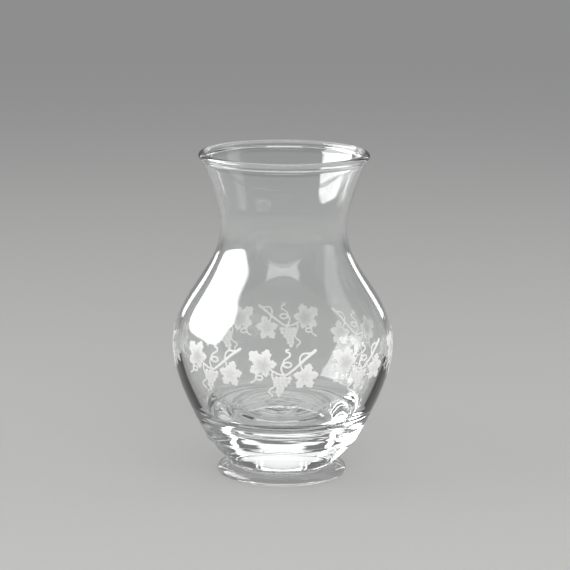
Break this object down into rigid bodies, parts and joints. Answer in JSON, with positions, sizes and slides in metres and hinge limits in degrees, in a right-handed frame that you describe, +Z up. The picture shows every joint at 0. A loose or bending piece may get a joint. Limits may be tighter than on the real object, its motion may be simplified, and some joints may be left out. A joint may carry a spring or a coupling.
{
  "type": "bud vase",
  "caption": "Small clear glass vase with a flared lip, round body, heavy base and pinched foot, decorated with a band of fired white grape-vine sprigs.",
  "frame": {"origin": "centre of the foot, on the surface the vase stands on", "axes": "+Z up along the vase's axis of revolution, -Y towards the viewer of the picture, +X to the viewer's right"},
  "size_m": [0.0822, 0.0822, 0.12],
  "materials": {
    "clear_glass": "clear colourless soda-lime glass, fire-polished smooth",
    "white_enamel": "fired white enamel, satin, slightly grainy"
  },
  "bodies": {
    "root": {"glass_body": "clear_glass", "vine_sprig_1": "white_enamel", "vine_sprig_2": "white_enamel", "vine_sprig_3": "white_enamel", "vine_sprig_4": "white_enamel", "vine_sprig_5": "white_enamel", "vine_sprig_6": "white_enamel", "vine_sprig_7": "white_enamel", "vine_sprig_8": "white_enamel"}
  },
  "joints": []
}
